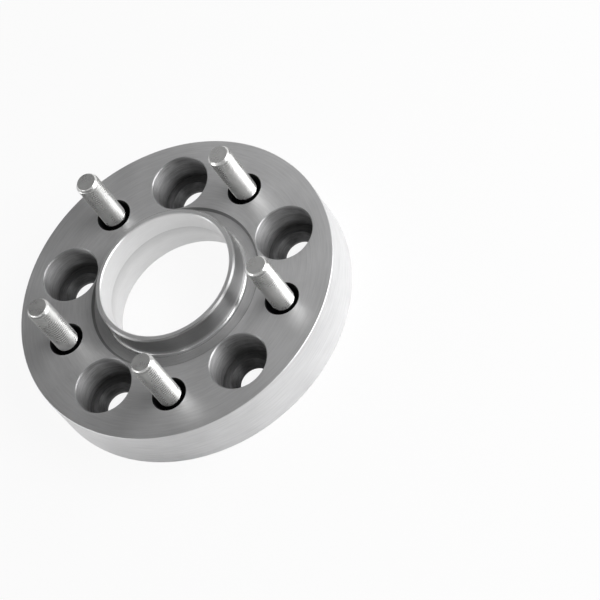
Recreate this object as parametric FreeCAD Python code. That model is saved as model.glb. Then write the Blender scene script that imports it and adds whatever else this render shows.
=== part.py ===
import FreeCAD, Part
import math
import os

# Hub-centring wheel spacer with five pressed-in wheel studs, in millimetres.
# +Z points away from the vehicle, out of the face that the wheel sits on.
# The origin is the centre of the back face, the one that sits on the wheel hub.
# The disc is turned and drilled from one piece of aluminium.

# Disc
disc_diameter = 166.0
disc_thickness = 25.4
disc_edge_break = 0.6

# Bolt circle shared by the hub nuts and the wheel studs, which stand midway between the pockets
bolt_count = 5
bolt_circle_diameter = 120.0
first_stud_angle = 90.0

# Lip that centres the wheel
lip_diameter = 74.0
lip_wall = 3.1
lip_height = 12.3
lip_outer_chamfer = 0.9
lip_inner_chamfer = 0.5
lip_root_radius = 1.6

# Shallow relief turned into the wheel face round the lip, with a sloping outer wall
relief_depth = 1.2
relief_width = 6.4

# Bore: the lip's own bore, a slightly wider middle, then the recess that fits over the hub
lip_bore_depth = 1.0
middle_bore_step = 1.2
hub_recess_clearance = 0.1
hub_recess_depth = 12.0
hub_recess_lead = 5.0

# Hub nut pockets, with a cone seat for the nut and a hole for the vehicle's own stud
pocket_diameter = 29.4
pocket_depth = 17.0
pocket_mouth_chamfer = 0.5
seat_mouth_diameter = 21.0
seat_cone_angle = 60.0
hub_stud_hole_diameter = 16.0
hub_stud_hole_lead = 2.5

# Wheel studs, their thread cut as one ring-shaped groove for each turn
thread_diameter = 12.0
thread_pitch = 1.5
thread_depth = 0.9
thread_crest_width = 0.24
stud_reach = 32.5
tip_chamfer = 1.2
tip_chamfer_length = 1.8
neck_diameter = 10.4
thread_start_depth = 1.2
thread_run_out = 1.6
head_diameter = 22.0
head_height = 4.5
head_edge_chamfer = 0.6
knurl_diameter = 14.2
knurl_length = 9.0
knurl_tooth_count = 30
knurl_tooth_depth = 0.35
knurl_lead = 0.8

# Stud holes: head counterbore at the back, press bore, clearance bore at the front
head_sink = 1.5
head_bore_clearance = 1.0
press_bore_clearance = 0.06
clearance_bore_diameter = 17.2
clearance_bore_depth = 10.0
clearance_bore_chamfer = 0.3

# How far each cutting shape runs out past the surface it opens
tool_overrun = 1.0

disc_radius = disc_diameter / 2
bolt_circle_radius = bolt_circle_diameter / 2
lip_radius = lip_diameter / 2
lip_bore_radius = lip_radius - lip_wall
middle_bore_radius = lip_bore_radius + middle_bore_step
hub_recess_radius = (lip_diameter + hub_recess_clearance) / 2
lip_top = disc_thickness + lip_height
relief_floor = disc_thickness - relief_depth
relief_foot_radius = lip_radius + relief_width
head_seat_height = head_sink + head_height
bolt_pitch_angle = 360.0 / bolt_count


def turned(section):
    """A solid turned about the Z axis from a closed section of edges in the XZ plane."""
    face = Part.Face(Part.Wire(section))
    return face.revolve(FreeCAD.Vector(0, 0, 0), FreeCAD.Vector(0, 0, 1), 360)


def point(radius, height):
    return FreeCAD.Vector(radius, 0, height)


def outline(corners):
    """Straight edges through a run of (radius, height) corners."""
    points = [point(radius, height) for radius, height in corners]
    return Part.makePolygon(points).Edges


def closed_outline(corners):
    return outline(corners + [corners[0]])


def disc_blank():
    """The disc, lip and stepped bore, before any hole is drilled beside the bore."""
    root_centre_radius = lip_radius + lip_root_radius
    root_centre_height = relief_floor + lip_root_radius
    root_half_way = lip_root_radius * math.sqrt(0.5)
    root_arc = Part.Arc(
        point(root_centre_radius, relief_floor),
        point(root_centre_radius - root_half_way, root_centre_height - root_half_way),
        point(lip_radius, root_centre_height),
    ).toShape()
    outside = outline([
        (hub_recess_radius + hub_recess_lead, 0),
        (disc_radius - disc_edge_break, 0),
        (disc_radius, disc_edge_break),
        (disc_radius, disc_thickness - disc_edge_break),
        (disc_radius - disc_edge_break, disc_thickness),
        (relief_foot_radius + relief_depth, disc_thickness),
        (relief_foot_radius, relief_floor),
        (root_centre_radius, relief_floor),
    ])
    lip_and_bore = outline([
        (lip_radius, root_centre_height),
        (lip_radius, lip_top - lip_outer_chamfer),
        (lip_radius - lip_outer_chamfer, lip_top),
        (lip_bore_radius + lip_inner_chamfer, lip_top),
        (lip_bore_radius, lip_top - lip_inner_chamfer),
        (lip_bore_radius, disc_thickness - lip_bore_depth),
        (middle_bore_radius, disc_thickness - lip_bore_depth),
        (middle_bore_radius, hub_recess_depth),
        (hub_recess_radius, hub_recess_depth),
        (hub_recess_radius, hub_recess_lead),
        (hub_recess_radius + hub_recess_lead, 0),
    ])
    return turned(outside + [root_arc] + lip_and_bore)


def pocket_cutter():
    """Everything one hub nut needs: pocket, cone seat, stud hole and its lead at the back."""
    hole_radius = hub_stud_hole_diameter / 2
    seat_radius = seat_mouth_diameter / 2
    pocket_radius = pocket_diameter / 2
    seat_top = disc_thickness - pocket_depth
    seat_height = (seat_radius - hole_radius) / math.tan(math.radians(seat_cone_angle / 2))
    return turned(closed_outline([
        (0, -tool_overrun),
        (hole_radius + hub_stud_hole_lead + tool_overrun, -tool_overrun),
        (hole_radius, hub_stud_hole_lead),
        (hole_radius, seat_top - seat_height),
        (seat_radius, seat_top),
        (pocket_radius, seat_top),
        (pocket_radius, disc_thickness - pocket_mouth_chamfer),
        (pocket_radius + pocket_mouth_chamfer + tool_overrun, disc_thickness + tool_overrun),
        (0, disc_thickness + tool_overrun),
    ]))


def stud_hole_cutter():
    """Stepped hole for one wheel stud, its head seat facing the back."""
    head_bore_radius = (head_diameter + head_bore_clearance) / 2
    press_radius = (knurl_diameter + press_bore_clearance) / 2
    clearance_radius = clearance_bore_diameter / 2
    clearance_floor = disc_thickness - clearance_bore_depth
    return turned(closed_outline([
        (0, -tool_overrun),
        (head_bore_radius, -tool_overrun),
        (head_bore_radius, head_seat_height),
        (press_radius, head_seat_height),
        (press_radius, clearance_floor),
        (clearance_radius, clearance_floor),
        (clearance_radius, disc_thickness - clearance_bore_chamfer),
        (clearance_radius + clearance_bore_chamfer + tool_overrun, disc_thickness + tool_overrun),
        (0, disc_thickness + tool_overrun),
    ]))


def on_bolt_circle(shape, angle):
    """A copy of a shape made on the Z axis, set on the bolt circle at the given angle."""
    placed = shape.copy()
    placed.translate(FreeCAD.Vector(bolt_circle_radius, 0, 0))
    placed.rotate(FreeCAD.Vector(0, 0, 0), FreeCAD.Vector(0, 0, 1), angle)
    return placed


def spacer_body():
    cutters = []
    for index in range(bolt_count):
        stud_angle = first_stud_angle + index * bolt_pitch_angle
        cutters.append(on_bolt_circle(stud_hole_cutter(), stud_angle))
        cutters.append(on_bolt_circle(pocket_cutter(), stud_angle + bolt_pitch_angle / 2))
    return disc_blank().cut(cutters)


def stud_blank():
    """Head, knurled shank, neck and thread of one stud, the thread as a plain cylinder."""
    head_radius = head_diameter / 2
    knurl_radius = knurl_diameter / 2
    thread_radius = thread_diameter / 2
    neck_radius = neck_diameter / 2
    knurl_top = head_seat_height + knurl_length
    thread_start = disc_thickness - thread_start_depth
    tip = disc_thickness + stud_reach
    return turned(closed_outline([
        (0, head_sink),
        (head_radius - head_edge_chamfer, head_sink),
        (head_radius, head_sink + head_edge_chamfer),
        (head_radius, head_seat_height),
        (knurl_radius, head_seat_height),
        (knurl_radius, knurl_top - knurl_lead),
        (knurl_radius - knurl_lead, knurl_top),
        (neck_radius, knurl_top),
        (neck_radius, thread_start - (thread_radius - neck_radius)),
        (thread_radius, thread_start),
        (thread_radius, tip - tip_chamfer_length),
        (thread_radius - tip_chamfer, tip),
        (0, tip),
    ]))


def thread_grooves():
    """One V-shaped ring groove for each turn of the thread, from its run-out to the tip."""
    thread_radius = thread_diameter / 2
    root_radius = thread_radius - thread_depth
    open_radius = thread_radius + thread_depth
    open_half_width = thread_pitch - thread_crest_width
    grooves = []
    height = disc_thickness - thread_start_depth + thread_run_out + thread_pitch / 2
    while height < disc_thickness + stud_reach:
        grooves.append(turned(closed_outline([
            (root_radius, height),
            (open_radius, height + open_half_width),
            (open_radius, height - open_half_width),
        ])))
        height += thread_pitch
    return grooves


def knurl_groove():
    """One V-shaped groove between two teeth of the knurl, from the head to past its top."""
    knurl_radius = knurl_diameter / 2
    wide = knurl_radius + knurl_tooth_depth
    half_width = math.pi * knurl_radius / knurl_tooth_count
    corners = [
        FreeCAD.Vector(knurl_radius - knurl_tooth_depth, 0, head_seat_height),
        FreeCAD.Vector(wide, half_width, head_seat_height),
        FreeCAD.Vector(wide, -half_width, head_seat_height),
    ]
    section = Part.Face(Part.makePolygon(corners + [corners[0]]))
    return section.extrude(FreeCAD.Vector(0, 0, knurl_length))


def wheel_stud():
    groove = knurl_groove()
    knurl_grooves = []
    for index in range(knurl_tooth_count):
        cutter = groove.copy()
        turn = index * 360.0 / knurl_tooth_count
        cutter.rotate(FreeCAD.Vector(0, 0, 0), FreeCAD.Vector(0, 0, 1), turn)
        knurl_grooves.append(cutter)
    return stud_blank().cut(knurl_grooves + thread_grooves())


os.makedirs("parts", exist_ok=True)
spacer_body().exportStep("parts/spacer_body.step")

stud = wheel_stud()
for number in range(bolt_count):
    placed_stud = on_bolt_circle(stud, first_stud_angle + number * bolt_pitch_angle)
    placed_stud.exportStep(f"parts/wheel_stud_{number + 1}.step")
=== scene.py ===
import math
import bmesh
import bpy
from mathutils import Matrix, Vector


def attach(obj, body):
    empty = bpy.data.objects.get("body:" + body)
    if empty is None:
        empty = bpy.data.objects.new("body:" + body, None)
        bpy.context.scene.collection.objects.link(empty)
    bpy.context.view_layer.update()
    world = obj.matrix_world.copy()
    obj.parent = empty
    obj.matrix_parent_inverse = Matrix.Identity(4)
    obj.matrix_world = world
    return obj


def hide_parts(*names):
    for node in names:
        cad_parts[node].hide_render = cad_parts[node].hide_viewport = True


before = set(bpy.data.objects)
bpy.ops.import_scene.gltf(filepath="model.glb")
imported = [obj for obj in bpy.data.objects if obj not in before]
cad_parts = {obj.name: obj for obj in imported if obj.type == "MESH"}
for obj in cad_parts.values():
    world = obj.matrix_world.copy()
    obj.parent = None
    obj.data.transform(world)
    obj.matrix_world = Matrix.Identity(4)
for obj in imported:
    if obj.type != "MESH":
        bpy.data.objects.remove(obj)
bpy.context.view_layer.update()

# Spacer body. One disc of aluminium alloy, turned on a lathe with its centring lip, then drilled
# for the hub nuts and the wheel studs and left bare, with fine tool marks round each axis.
mm = 0.001
disc_radius = 83.0 * mm
disc_thickness = 25.4 * mm
disc_edge_round = 0.6 * mm
lip_radius = 37.0 * mm
lip_bore_radius = 33.9 * mm
lip_top = disc_thickness + 12.3 * mm
lip_outer_chamfer = 0.9 * mm
lip_inner_chamfer = 0.5 * mm
lip_root_radius = 1.6 * mm
relief_floor = disc_thickness - 1.2 * mm
relief_foot_radius = 43.4 * mm
relief_top_radius = relief_foot_radius + disc_thickness - relief_floor
lip_bore_end = disc_thickness - 1.0 * mm
lip_bore_end_round = 0.8 * mm
middle_bore_radius = 35.1 * mm
hub_recess_radius = 37.05 * mm
hub_recess_depth = 12.0 * mm
hub_recess_lead = 5.0 * mm

bolt_circle_radius = 60.0 * mm
bolt_count = 5
first_stud_angle = math.radians(90)
bolt_pitch_angle = math.radians(360 / bolt_count)

pocket_radius = 14.7 * mm
pocket_floor = 8.4 * mm
pocket_mouth_chamfer = 0.5 * mm
nut_seat_radius = 10.5 * mm
nut_seat_foot = 4.07 * mm
hub_stud_hole_radius = 8.0 * mm
hub_stud_hole_lead = 2.5 * mm

head_bore_radius = 11.5 * mm
head_seat = 6.0 * mm
press_bore_radius = 7.13 * mm
clearance_bore_floor = 15.4 * mm
clearance_bore_radius = 8.6 * mm
clearance_bore_chamfer = 0.3 * mm
tool_overrun = 1.0 * mm

merge_distance = 0.001 * mm
sliver_length = 0.0001 * mm
join_merge_distance = 0.002 * mm
sharp_corner = math.radians(25)


def quarter_round(centre_radius, centre_height, size, start, steps):
    """Corners along a quarter circle, turning anticlockwise from the start angle in degrees."""
    corners = []
    for step in range(steps + 1):
        angle = math.radians(start + 90 * step / steps)
        corners.append((centre_radius + size * math.cos(angle),
                        centre_height + size * math.sin(angle)))
    return corners


def lathe(corners, steps):
    """A closed solid, spun once round the Z axis from a closed section of (radius, height)."""
    bm = bmesh.new()
    verts = [bm.verts.new((radius, 0, height)) for radius, height in corners]
    edges = [bm.edges.new(pair) for pair in zip(verts, verts[1:] + verts[:1])]
    bmesh.ops.spin(bm, geom=verts + edges, cent=(0, 0, 0), axis=(0, 0, 1),
                   angle=math.tau, steps=steps, use_merge=True)
    bmesh.ops.remove_doubles(bm, verts=bm.verts, dist=merge_distance)
    bmesh.ops.dissolve_degenerate(bm, edges=bm.edges, dist=sliver_length)
    bmesh.ops.recalc_face_normals(bm, faces=bm.faces)
    return bm


def on_bolt_circle(angle):
    """The place on the bolt circle at an angle, turned so that X points away from the bore."""
    return Matrix.Rotation(angle, 4, "Z") @ Matrix.Translation((bolt_circle_radius, 0, 0))


def add_copy(target, source, place):
    """Adds a copy of one bmesh, moved to its place, to another."""
    copy = bpy.data.meshes.new("copy")
    moved = source.copy()
    bmesh.ops.transform(moved, matrix=place, verts=moved.verts)
    moved.to_mesh(copy)
    target.from_mesh(copy)
    moved.free()
    bpy.data.meshes.remove(copy)


def smooth_but_for_corners(mesh):
    mesh.shade_smooth()
    mesh.set_sharp_from_angle(angle=sharp_corner)


def piece_from(bm, name, materials):
    """A scene object made from a bmesh, smooth but for its real corners."""
    mesh = bpy.data.meshes.new(name)
    bm.to_mesh(mesh)
    bm.free()
    for material in materials:
        mesh.materials.append(material)
    smooth_but_for_corners(mesh)
    piece = bpy.data.objects.new(name, mesh)
    bpy.context.scene.collection.objects.link(piece)
    return piece


def combine(piece, other, operation):
    """Cuts one solid with another or joins the two, and leaves only the first."""
    change = piece.modifiers.new("combined", "BOOLEAN")
    change.operation = operation
    change.solver = "EXACT"
    change.material_mode = "INDEX"
    change.object = other
    bpy.context.view_layer.update()
    mesh = bpy.data.meshes.new_from_object(
        piece.evaluated_get(bpy.context.evaluated_depsgraph_get()))
    cleaned = bmesh.new()
    cleaned.from_mesh(mesh)
    bmesh.ops.remove_doubles(cleaned, verts=cleaned.verts, dist=join_merge_distance)
    bmesh.ops.dissolve_degenerate(cleaned, edges=cleaned.edges, dist=join_merge_distance)
    cleaned.to_mesh(mesh)
    cleaned.free()
    smooth_but_for_corners(mesh)
    piece.modifiers.clear()
    piece.data = mesh
    bpy.data.objects.remove(other)


def node(tree, kind, **settings):
    """A new shader node with its settings."""
    made = tree.nodes.new(kind)
    for name, value in settings.items():
        setattr(made, name, value)
    return made


def feed(tree, value, socket):
    """Gives an input its value, a number or another node's output."""
    if isinstance(value, (int, float)):
        socket.default_value = value
    else:
        tree.links.new(value, socket)


def maths(tree, operation, *values):
    """A Math node, or a row of them for more than two values, each an output or a number."""
    made = node(tree, "ShaderNodeMath", operation=operation)
    for value, socket in zip(values[:2], made.inputs):
        feed(tree, value, socket)
    if len(values) > 2:
        return maths(tree, operation, made.outputs[0], *values[2:])
    return made.outputs[0]


def axis_distance(tree, first, second):
    """How far a point lies from an axis, from its two coordinates across it."""
    return maths(tree, "SQRT", maths(tree, "ADD", maths(tree, "MULTIPLY", first, first),
                                     maths(tree, "MULTIPLY", second, second)))


def near(tree, value, middle, reach):
    """One where a value lies within reach of a middle one, and zero elsewhere."""
    compared = maths(tree, "COMPARE", value, middle)
    compared.node.inputs[2].default_value = reach
    return compared


def ramp(tree, value, span, results):
    """A value spread from one range to another."""
    spread = node(tree, "ShaderNodeMapRange")
    names = ("Value", "From Min", "From Max", "To Min", "To Max")
    for name, number in zip(names, (value, *span, *results)):
        feed(tree, number, spread.inputs[name])
    return spread.outputs["Result"]


def noise_of(tree, first, second, third, scale, detail):
    """Noise read at three worked-out coordinates."""
    joined = node(tree, "ShaderNodeCombineXYZ")
    for value, socket in zip((first, second, third), joined.inputs):
        feed(tree, value, socket)
    noise = node(tree, "ShaderNodeTexNoise")
    noise.inputs["Scale"].default_value = scale
    noise.inputs["Detail"].default_value = detail
    tree.links.new(joined.outputs[0], noise.inputs["Vector"])
    return noise.outputs["Fac"]


def turned_noise(tree, radius, around, z, per_radian, scale, detail):
    """Noise drawn out round an axis, where each radian counts as so many metres."""
    return noise_of(tree, radius, maths(tree, "MULTIPLY", around, per_radian), z, scale, detail)


def mixed(tree, first, share, second):
    """Two values added up, the first by its share and the second by the rest."""
    return maths(tree, "ADD", maths(tree, "MULTIPLY", first, share),
                 maths(tree, "MULTIPLY", second, 1 - share))


def grey_ramp(tree, value, span, dark, light):
    """A colour between a dark and a light tone as a value goes through a span."""
    tones = node(tree, "ShaderNodeValToRGB")
    for element, position, tone in zip(tones.color_ramp.elements, span, (dark, light)):
        element.position = position
        element.color = (*tone, 1)
    tree.links.new(value, tones.inputs[0])
    return tones.outputs["Color"]


def shaded(tree, colour, brightness):
    """A colour made darker or lighter."""
    scaled = node(tree, "ShaderNodeVectorMath", operation="SCALE")
    tree.links.new(colour, scaled.inputs[0])
    tree.links.new(brightness, scaled.inputs["Scale"])
    return scaled.outputs[0]


def bump(tree, shader, height, distance, strength):
    """Fine relief in the shading, as high as the distance."""
    raised = node(tree, "ShaderNodeBump")
    raised.inputs["Strength"].default_value = strength
    raised.inputs["Distance"].default_value = distance
    tree.links.new(height, raised.inputs["Height"])
    tree.links.new(raised.outputs["Normal"], shader.inputs["Normal"])


def new_metal(name, metallic):
    """An empty metal material with its shader and the place on the object, in metres."""
    material = bpy.data.materials.new(name)
    material.use_nodes = True
    tree = material.node_tree
    shader = tree.nodes["Principled BSDF"]
    shader.inputs["Metallic"].default_value = metallic
    place = node(tree, "ShaderNodeTexCoord").outputs["Object"]
    axes = node(tree, "ShaderNodeSeparateXYZ")
    tree.links.new(place, axes.inputs[0])
    return material, tree, shader, axes.outputs


# A painted shade is the share of its colour that a surface loses where shade is painted, found
# from radius and height, with a little room on each side of the surface.
noise_middle = (0.36, 0.64)
surface_room = 0.2 * mm
lip_wall_painted_shade = (0.1, 0.65)
lip_chamfer_painted_shade = 0.5
relief_painted_shade = 0.18
relief_slope_painted_shadow = 0.5
relief_slope_fade = 0.1 * mm
bore_step_painted_shade = 0.25
bore_step_fade = 8.0 * mm
fillet_shine_half_width = 0.48 * lip_root_radius
fillet_roughness_drop = 0.14
painted_shade_floor_level = 0.32
painted_shade_top = 22.0 * mm
quarter_turn = 0.25
leaning_axis = (0.01, 0.02, 1.0)


def painted_shade_by_lip(tree, radius, z):
    """Painted shade on the lip's wall and chamfer and in the relief round it, and a painted
    shadow on the relief's slope.
    """
    # Painted shade: the lip's wall darkens more and more up from its foot, the outer chamfer and
    # relief floor are darkened, and the relief's slope carries a painted shadow line.
    wall = maths(tree, "MULTIPLY", near(tree, radius, lip_radius, surface_room),
                 ramp(tree, z, (relief_floor, relief_floor + 2 * lip_root_radius),
                      lip_wall_painted_shade))
    chamfer = maths(tree, "MULTIPLY",
                    maths(tree, "GREATER_THAN", radius, lip_radius - lip_outer_chamfer),
                    maths(tree, "GREATER_THAN", z, lip_top - lip_outer_chamfer),
                    lip_chamfer_painted_shade)
    relief = maths(tree, "MULTIPLY",
                   near(tree, radius, (lip_radius + relief_foot_radius) / 2,
                        (relief_foot_radius - lip_radius) / 2),
                   ramp(tree, z, (disc_thickness, disc_thickness + lip_root_radius),
                        (relief_painted_shade, 0.0)))
    slope = maths(tree, "MULTIPLY",
                  near(tree, radius, (relief_foot_radius + relief_top_radius) / 2,
                       (relief_top_radius - relief_foot_radius) / 2),
                  ramp(tree, z, (disc_thickness - relief_slope_fade, disc_thickness),
                       (relief_slope_painted_shadow, 0.0)))
    at_wheel_face = maths(tree, "GREATER_THAN", z, relief_floor - surface_room)
    return maths(tree, "MULTIPLY", maths(tree, "MAXIMUM", wall, chamfer, relief, slope),
                 at_wheel_face)


def painted_shade_below_step(tree, radius, z):
    """Painted shade in the bore just under the end of the lip's own bore, fading out downwards.
    """
    return maths(tree, "MULTIPLY", maths(tree, "LESS_THAN", z, lip_bore_end),
                 ramp(tree, z, (lip_bore_end, lip_bore_end - bore_step_fade),
                      (bore_step_painted_shade, 0.0)))


def turned_aluminium(name, metallic, dark, light, painted_shade_of):
    """Lathe-cut aluminium: streaks and grooves that run round the disc's own axis."""
    material, tree, shader, (x, y, z) = new_metal(name, metallic)
    radius = axis_distance(tree, x, y)
    around = maths(tree, "ARCTAN2", y, x)
    streaks = turned_noise(tree, radius, around, z, per_radian=4.0 * mm, scale=1400, detail=3)
    grooves = turned_noise(tree, radius, around, z, per_radian=20.0 * mm, scale=3200, detail=2)
    cloud = noise_of(tree, x, y, z, scale=38, detail=3)
    tones = grey_ramp(tree, mixed(tree, streaks, 0.45, cloud), noise_middle, dark, light)
    # Painted shade: the tones are darkened by the share that the given function finds.
    kept_after_painted_shade = maths(tree, "SUBTRACT", 1.0, painted_shade_of(tree, radius, z))
    tree.links.new(shaded(tree, tones, kept_after_painted_shade), shader.inputs["Base Color"])

    # The fillet at the lip's foot is cut by a round-nosed tool and shines more than the rest.
    fillet_shine = maths(tree, "MULTIPLY",
                         near(tree, radius, lip_radius + lip_root_radius / 2,
                              fillet_shine_half_width),
                         maths(tree, "GREATER_THAN", z, relief_floor - surface_room),
                         fillet_roughness_drop)
    roughness = ramp(tree, cloud, (0.3, 0.7), (0.30, 0.38))
    tree.links.new(maths(tree, "SUBTRACT", roughness, fillet_shine),
                   shader.inputs["Roughness"])
    shader.inputs["Anisotropic"].default_value = 0.15
    shader.inputs["Anisotropic Rotation"].default_value = quarter_turn
    tangent = node(tree, "ShaderNodeTangent", direction_type="RADIAL", axis="Z")
    tree.links.new(tangent.outputs[0], shader.inputs["Tangent"])
    bump(tree, shader, maths(tree, "ADD", streaks, grooves), distance=0.02 * mm, strength=0.5)
    return material


def bored_aluminium(name, dark, light):
    """Drilled and milled aluminium: tool marks that run round the nearest hole's own axis."""
    material, tree, shader, (x, y, z) = new_metal(name, 0.8)
    around = maths(tree, "ARCTAN2", y, x)
    sector = bolt_pitch_angle / 2
    in_sector = maths(tree, "FLOORED_MODULO",
                      maths(tree, "SUBTRACT", around, first_stud_angle - sector / 2), sector)
    off_centre = maths(tree, "SUBTRACT", in_sector, sector / 2)
    radius = axis_distance(tree, x, y)
    out = maths(tree, "SUBTRACT",
                maths(tree, "MULTIPLY", radius, maths(tree, "COSINE", off_centre)),
                bolt_circle_radius)
    side = maths(tree, "MULTIPLY", radius, maths(tree, "SINE", off_centre))
    hole_radius = axis_distance(tree, out, side)
    hole_around = maths(tree, "ARCTAN2", side, out)
    streaks = turned_noise(tree, hole_radius, hole_around, z, per_radian=2.0 * mm,
                           scale=1500, detail=3)
    rings = turned_noise(tree, hole_radius, hole_around, z, per_radian=1.5 * mm,
                         scale=500, detail=1)
    marks = mixed(tree, streaks, 0.55, rings)
    tones = grey_ramp(tree, marks, noise_middle, dark, light)
    # Painted shade: the colour darkens down the pockets and holes, to about a third at the
    # pocket floor and below.
    painted_depth_shade = ramp(tree, z, (pocket_floor, painted_shade_top), (painted_shade_floor_level, 1.0))
    tree.links.new(shaded(tree, tones, painted_depth_shade), shader.inputs["Base Color"])
    tree.links.new(ramp(tree, marks, (0.35, 0.65), (0.58, 0.42)), shader.inputs["Roughness"])

    # The axis leans a little, so that the marks have a direction on flat floors too.
    shader.inputs["Anisotropic"].default_value = 0.8
    shader.inputs["Anisotropic Rotation"].default_value = quarter_turn
    round_hole = node(tree, "ShaderNodeVectorMath", operation="CROSS_PRODUCT")
    tree.links.new(node(tree, "ShaderNodeNewGeometry").outputs["Normal"], round_hole.inputs[0])
    round_hole.inputs[1].default_value = leaning_axis
    tree.links.new(round_hole.outputs[0], shader.inputs["Tangent"])
    bump(tree, shader, streaks, distance=0.04 * mm, strength=0.7)
    return material


def disc_section():
    """The disc's own section, from the back face out, over the lip and down the bore."""
    edge_centre = disc_radius - disc_edge_round
    fillet = quarter_round(lip_radius + lip_root_radius, relief_floor + lip_root_radius,
                           lip_root_radius, start=180, steps=8)
    return (
        [(hub_recess_radius + hub_recess_lead, 0)]
        + quarter_round(edge_centre, disc_edge_round, disc_edge_round, start=-90, steps=4)
        + quarter_round(edge_centre, disc_thickness - disc_edge_round, disc_edge_round,
                        start=0, steps=4)
        + [(relief_top_radius, disc_thickness), (relief_foot_radius, relief_floor)]
        + fillet[::-1]
        + [(lip_radius, lip_top - lip_outer_chamfer),
           (lip_radius - lip_outer_chamfer, lip_top),
           (lip_bore_radius + lip_inner_chamfer, lip_top),
           (lip_bore_radius, lip_top - lip_inner_chamfer),
           (lip_bore_radius, lip_top - 2 * lip_inner_chamfer)]
        + quarter_round(lip_bore_radius + lip_bore_end_round, lip_bore_end + lip_bore_end_round,
                        lip_bore_end_round, start=180, steps=3)
        + [(middle_bore_radius, lip_bore_end),
           (middle_bore_radius, hub_recess_depth),
           (hub_recess_radius, hub_recess_depth),
           (hub_recess_radius, hub_recess_lead)]
    )


def pocket_section():
    """One hub nut's pocket, its cone seat, the stud hole and its lead at the back."""
    return [
        (0, -tool_overrun),
        (hub_stud_hole_radius + hub_stud_hole_lead + tool_overrun, -tool_overrun),
        (hub_stud_hole_radius, hub_stud_hole_lead),
        (hub_stud_hole_radius, nut_seat_foot),
        (nut_seat_radius, pocket_floor),
        (pocket_radius, pocket_floor),
        (pocket_radius, disc_thickness - pocket_mouth_chamfer),
        (pocket_radius + pocket_mouth_chamfer + tool_overrun, disc_thickness + tool_overrun),
        (0, disc_thickness + tool_overrun),
    ]


def stud_hole_section():
    """One wheel stud's head bore, press bore and clearance bore, from the back."""
    return [
        (0, -tool_overrun),
        (head_bore_radius, -tool_overrun),
        (head_bore_radius, head_seat),
        (press_bore_radius, head_seat),
        (press_bore_radius, clearance_bore_floor),
        (clearance_bore_radius, clearance_bore_floor),
        (clearance_bore_radius, disc_thickness - clearance_bore_chamfer),
        (clearance_bore_radius + clearance_bore_chamfer + tool_overrun,
         disc_thickness + tool_overrun),
        (0, disc_thickness + tool_overrun),
    ]


aluminium = [
    turned_aluminium("turned_aluminium", metallic=0.70, dark=(0.74, 0.74, 0.745),
                     light=(0.88, 0.88, 0.885), painted_shade_of=painted_shade_by_lip),
    bored_aluminium("milled_pockets", dark=(0.46, 0.46, 0.465), light=(0.70, 0.70, 0.705)),
    # The stud holes are coloured near-black as a painted shadow for the narrow gap round each
    # stud.
    bored_aluminium("reamed_stud_holes_painted_shadow", dark=(0.05, 0.05, 0.05), light=(0.09, 0.09, 0.09)),
    turned_aluminium("bored_centre", metallic=0.50, dark=(0.88, 0.88, 0.88),
                     light=(0.96, 0.96, 0.96), painted_shade_of=painted_shade_below_step),
]
in_pocket, in_stud_hole, in_bore = 1, 2, 3

turned_disc = lathe(disc_section(), steps=240)
for face in turned_disc.faces:
    middle = face.calc_center_median().xy
    if middle.length < hub_recess_radius and middle.dot(face.normal.xy) < 0:
        face.material_index = in_bore
blank = piece_from(turned_disc, "spacer_body_machined", aluminium)

pocket_tool = lathe(pocket_section(), steps=72)
for face in pocket_tool.faces:
    face.material_index = in_pocket
stud_hole_tool = lathe(stud_hole_section(), steps=56)
for face in stud_hole_tool.faces:
    face.material_index = in_stud_hole
tools = bmesh.new()
for index in range(bolt_count):
    stud_angle = first_stud_angle + index * bolt_pitch_angle
    add_copy(tools, stud_hole_tool, on_bolt_circle(stud_angle))
    add_copy(tools, pocket_tool, on_bolt_circle(stud_angle + bolt_pitch_angle / 2))
pocket_tool.free()
stud_hole_tool.free()

combine(blank, piece_from(tools, "drill", aluminium), "DIFFERENCE")
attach(blank, "root")
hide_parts("spacer_body")

# Wheel studs. Forged and rolled M12 x 1.5 steel studs, zinc plated bright, each with a round
# head sunk in the back of the disc, a knurl pressed into it and a chamfered tip.
stud_tip = disc_thickness + 32.5 * mm
tip_chamfer = 1.2 * mm
tip_chamfer_length = 1.8 * mm
thread_start = disc_thickness - 1.2 * mm
thread_pitch = 1.5 * mm
thread_crest_radius = 5.97 * mm
thread_root_radius = 5.08 * mm
thread_flat = thread_pitch / 8
flank_length = (thread_pitch - 2 * thread_flat) / 2
thread_merge_distance = 0.01 * mm
steps_per_turn = 48
neck_radius = 5.2 * mm
head_radius = 11.0 * mm
head_low = 1.5 * mm
head_edge_chamfer = 0.6 * mm
knurl_radius = 7.1 * mm
knurl_root_radius = 6.75 * mm
knurl_tooth_count = 30
knurl_top = head_seat + 9.0 * mm
knurl_foot = head_seat - 0.2 * mm
knurl_lead = 0.8 * mm
knurl_lead_narrowing = 0.84
shadowed_neck = (0.05, 0.05, 0.05)


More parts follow.
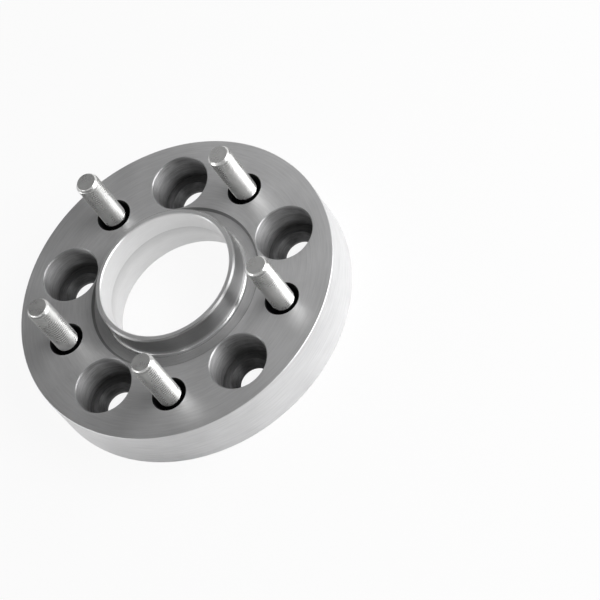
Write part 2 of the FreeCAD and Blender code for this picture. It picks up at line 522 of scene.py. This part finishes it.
def threaded_shank():
    """One screw surface from the neck to the tip, its crests cut to a cone at each end."""
    bm = bmesh.new()
    corners = []
    height = thread_start - 3 * thread_pitch
    while height < stud_tip + 2 * thread_pitch:
        corners += [(thread_crest_radius, height),
                    (thread_crest_radius, height + thread_flat),
                    (thread_root_radius, height + thread_flat + flank_length),
                    (thread_root_radius, height + 2 * thread_flat + flank_length)]
        height += thread_pitch
    verts = [bm.verts.new((radius, 0, level)) for radius, level in corners]
    edges = [bm.edges.new(pair) for pair in zip(verts, verts[1:])]
    bmesh.ops.spin(bm, geom=verts + edges, cent=(0, 0, 0), axis=(0, 0, 1),
                   dvec=(0, 0, thread_pitch / steps_per_turn), angle=math.tau,
                   steps=steps_per_turn, use_merge=False)
    bmesh.ops.remove_doubles(bm, verts=bm.verts, dist=thread_merge_distance)
    for level, way in ((thread_start - (thread_crest_radius - neck_radius), -1), (stud_tip, 1)):
        bmesh.ops.bisect_plane(bm, geom=bm.verts[:] + bm.edges[:] + bm.faces[:],
                               dist=sliver_length, plane_co=(0, 0, level),
                               plane_no=(0, 0, way), clear_outer=True)
    for vert in bm.verts:
        radius = vert.co.xy.length
        below_start = max(0.0, thread_start - vert.co.z)
        up_chamfer = max(0.0, 1 - (stud_tip - vert.co.z) / tip_chamfer_length)
        wanted = min(radius, thread_crest_radius - below_start,
                     thread_crest_radius - tip_chamfer * up_chamfer)
        vert.co.x *= wanted / radius
        vert.co.y *= wanted / radius
    bmesh.ops.holes_fill(bm, edges=[edge for edge in bm.edges if edge.is_boundary], sides=0)
    bmesh.ops.recalc_face_normals(bm, faces=bm.faces)
    return bm


def head_and_neck():
    """The round head, and the plain neck that runs up through the disc to the thread."""
    return lathe([(0, head_low), (head_radius - head_edge_chamfer, head_low),
                  (head_radius, head_low + head_edge_chamfer), (head_radius, head_seat),
                  (neck_radius, head_seat), (neck_radius, thread_start), (0, thread_start)],
                 steps=64)


def knurled_shank():
    """The toothed part that is pressed into the disc, with a cone that leads it in."""
    bm = bmesh.new()
    teeth = bmesh.ops.create_circle(bm, cap_ends=True, segments=2 * knurl_tooth_count,
                                    radius=knurl_radius,
                                    matrix=Matrix.Translation((0, 0, knurl_foot)))
    for vert in teeth["verts"][1::2]:
        vert.co.x *= knurl_root_radius / knurl_radius
        vert.co.y *= knurl_root_radius / knurl_radius
    foot = teeth["verts"][0].link_faces[0]
    grown = bmesh.ops.extrude_face_region(bm, geom=[foot])
    raised = [item for item in grown["geom"] if isinstance(item, bmesh.types.BMVert)]
    bmesh.ops.translate(bm, vec=(0, 0, knurl_top - knurl_lead - knurl_foot), verts=raised)
    top = [item for item in grown["geom"] if isinstance(item, bmesh.types.BMFace)]
    lead = bmesh.ops.extrude_face_region(bm, geom=top)
    narrow = [item for item in lead["geom"] if isinstance(item, bmesh.types.BMVert)]
    bmesh.ops.delete(bm, geom=top, context="FACES_ONLY")
    bmesh.ops.translate(bm, vec=(0, 0, knurl_lead), verts=narrow)
    bmesh.ops.scale(bm, vec=(knurl_lead_narrowing, knurl_lead_narrowing, 1.0), verts=narrow)
    bmesh.ops.recalc_face_normals(bm, faces=bm.faces)
    return bm


def plated_steel():
    """Bright zinc plate, slightly uneven and cloudy, with painted shade on the neck inside its
    hole.
    """
    material, tree, shader, (x, y, z) = new_metal("zinc_plated_steel", 0.8)
    cloud = noise_of(tree, x, y, maths(tree, "MULTIPLY", z, 0.3), scale=180, detail=2)
    grain = noise_of(tree, x, y, z, scale=2600, detail=2)
    plate = grey_ramp(tree, cloud, (0.34, 0.66), (0.76, 0.76, 0.75), (0.88, 0.88, 0.87))
    # Painted shade: the neck inside the disc is coloured near-black.
    in_disc = maths(tree, "MULTIPLY", maths(tree, "GREATER_THAN", z, head_seat),
                    ramp(tree, z, (thread_start - surface_room, thread_start), (1.0, 0.0)))
    colour = node(tree, "ShaderNodeMix", data_type="RGBA")
    tree.links.new(in_disc, colour.inputs["Factor"])
    tree.links.new(plate, colour.inputs["A"])
    colour.inputs["B"].default_value = (*shadowed_neck, 1)
    tree.links.new(colour.outputs["Result"], shader.inputs["Base Color"])
    tree.links.new(ramp(tree, cloud, (0.3, 0.7), (0.22, 0.36)), shader.inputs["Roughness"])
    bump(tree, shader, grain, distance=0.01 * mm, strength=0.4)
    return material


plating = plated_steel()
whole_stud = piece_from(threaded_shank(), "whole_stud", [plating])
combine(whole_stud, piece_from(head_and_neck(), "head_and_neck", [plating]), "UNION")
combine(whole_stud, piece_from(knurled_shank(), "knurled_shank", [plating]), "UNION")
stud = bmesh.new()
stud.from_mesh(whole_stud.data)
bpy.data.objects.remove(whole_stud)
for index in range(bolt_count):
    placed = bmesh.new()
    add_copy(placed, stud, on_bolt_circle(first_stud_angle + index * bolt_pitch_angle))
    piece = piece_from(placed, f"threaded_stud_{index + 1}", [plating])
    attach(piece, "root")
    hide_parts(f"wheel_stud_{index + 1}")
stud.free()

# Floor. A wide white sheet the disc lies on with its back face down, with a painted reflection
# that is darker in front of it, as if a grey card stood there. Its own underside is clear, so
# that the back of the disc shows when it is looked at from below.
floor_size = 6.0
floor_drop = 0.02 * mm
white_to_camera = 0.92
white_in_metal = 0.60
card_direction = math.radians(-103)
card_edge = (0.5, 0.9)


def in_reflections(tree, rays):
    """One for a ray that has been mirrored or has gone through, and zero for any other."""
    return maths(tree, "MAXIMUM", rays.outputs["Is Glossy Ray"],
                 rays.outputs["Is Transmission Ray"])


def one_or_other(tree, share, first, second):
    """A shader that goes from the first to the second with the share."""
    blend = node(tree, "ShaderNodeMixShader")
    for socket, source in zip(blend.inputs, (share, first, second)):
        tree.links.new(source, socket)
    return blend.outputs[0]


paper = bpy.data.materials.new("studio_floor")
paper.use_nodes = True
tree = paper.node_tree
matt = tree.nodes["Principled BSDF"]
matt.inputs["Base Color"].default_value = (0.90, 0.90, 0.90, 1)
matt.inputs["Roughness"].default_value = 0.9
matt.inputs["Specular IOR Level"].default_value = 0.1
glow = node(tree, "ShaderNodeEmission")
glow.inputs["Color"].default_value = (1, 1, 1, 1)
on_floor = node(tree, "ShaderNodeSeparateXYZ")
tree.links.new(node(tree, "ShaderNodeTexCoord").outputs["Object"], on_floor.inputs[0])
direction = maths(tree, "ARCTAN2", on_floor.outputs["Y"], on_floor.outputs["X"])
# Painted reflection: in the metal the floor shows less white towards the card's direction,
# though no card stands there.
to_card = maths(tree, "COSINE", maths(tree, "SUBTRACT", direction, card_direction))
white_beside_card = ramp(tree, to_card, card_edge, (white_in_metal, 0.0))
rays = node(tree, "ShaderNodeLightPath")
glow_share = maths(tree, "MAXIMUM",
                   maths(tree, "MULTIPLY", rays.outputs["Is Camera Ray"], white_to_camera),
                   maths(tree, "MULTIPLY", in_reflections(tree, rays), white_beside_card))
seen_from_above = one_or_other(tree, glow_share, matt.outputs[0], glow.outputs[0])
underside = node(tree, "ShaderNodeNewGeometry").outputs["Backfacing"]
clear = node(tree, "ShaderNodeBsdfTransparent").outputs[0]
tree.links.new(one_or_other(tree, underside, seen_from_above, clear),
               tree.nodes["Material Output"].inputs["Surface"])

sheet = bmesh.new()
bmesh.ops.create_grid(sheet, x_segments=1, y_segments=1, size=floor_size,
                      matrix=Matrix.Translation((0, 0, -floor_drop)))
floor = piece_from(sheet, "studio_floor", [paper])

# Studio light. A large soft box at the right, a low narrow one at the left and a weak one over
# the far side, in a white room whose upper part is kept dark so that the turned face stays grey.
room_light = 0.2
horizon_band = (0.1, 0.4)
horizon_to_ceiling = (0.8, 0.08)
world = bpy.data.worlds.new("studio")
bpy.context.scene.world = world
world.use_nodes = True
room = world.node_tree
backdrop = room.nodes["Background"]
backdrop.inputs["Color"].default_value = (1, 1, 1, 1)
rays = node(room, "ShaderNodeLightPath")
mirrored = in_reflections(room, rays)
way = node(room, "ShaderNodeSeparateXYZ")
room.links.new(node(room, "ShaderNodeTexCoord").outputs["Generated"], way.inputs[0])
seen_in_metal = maths(room, "MULTIPLY", mirrored,
                      ramp(room, way.outputs["Z"], horizon_band, horizon_to_ceiling))
falling_on_metal = maths(room, "MULTIPLY", maths(room, "SUBTRACT", 1.0, mirrored), room_light)
room.links.new(maths(room, "MAXIMUM", rays.outputs["Is Camera Ray"],
                     maths(room, "ADD", seen_in_metal, falling_on_metal)),
               backdrop.inputs["Strength"])


def soft_box(name, place, width, height, watts):
    """A rectangular lamp that points at the middle of the disc's back face."""
    light = bpy.data.lights.new(name, "AREA")
    light.shape = "RECTANGLE"
    light.size = width
    light.size_y = height
    light.energy = watts
    lamp = bpy.data.objects.new(name, light)
    lamp.location = place
    lamp.rotation_euler = (-Vector(place)).to_track_quat("-Z", "Y").to_euler()
    bpy.context.scene.collection.objects.link(lamp)


soft_box("key_soft_box", (0.695, -0.486, 0.530), width=1.0, height=0.9, watts=10.6)
soft_box("low_soft_box", (-0.95, 0.17, 0.14), width=0.7, height=0.22, watts=1.6)
soft_box("far_soft_box", (0.42, 0.58, 0.75), width=0.8, height=0.6, watts=0.35)

# Camera. A long lens at the photograph's own viewing angle, its place and turn fitted to the
# disc's edges, the lip and the holes.
lens = bpy.data.cameras.new("camera")
lens.sensor_width = 36.0
lens.lens = 196.06
camera = bpy.data.objects.new("camera", lens)
camera.location = (-0.00729, -1.00797, 1.25513)
camera.rotation_euler = (math.radians(31.431), math.radians(22.121), math.radians(-34.561))
bpy.context.scene.collection.objects.link(camera)
bpy.context.scene.camera = camera
bpy.context.scene.view_settings.view_transform = "Standard"
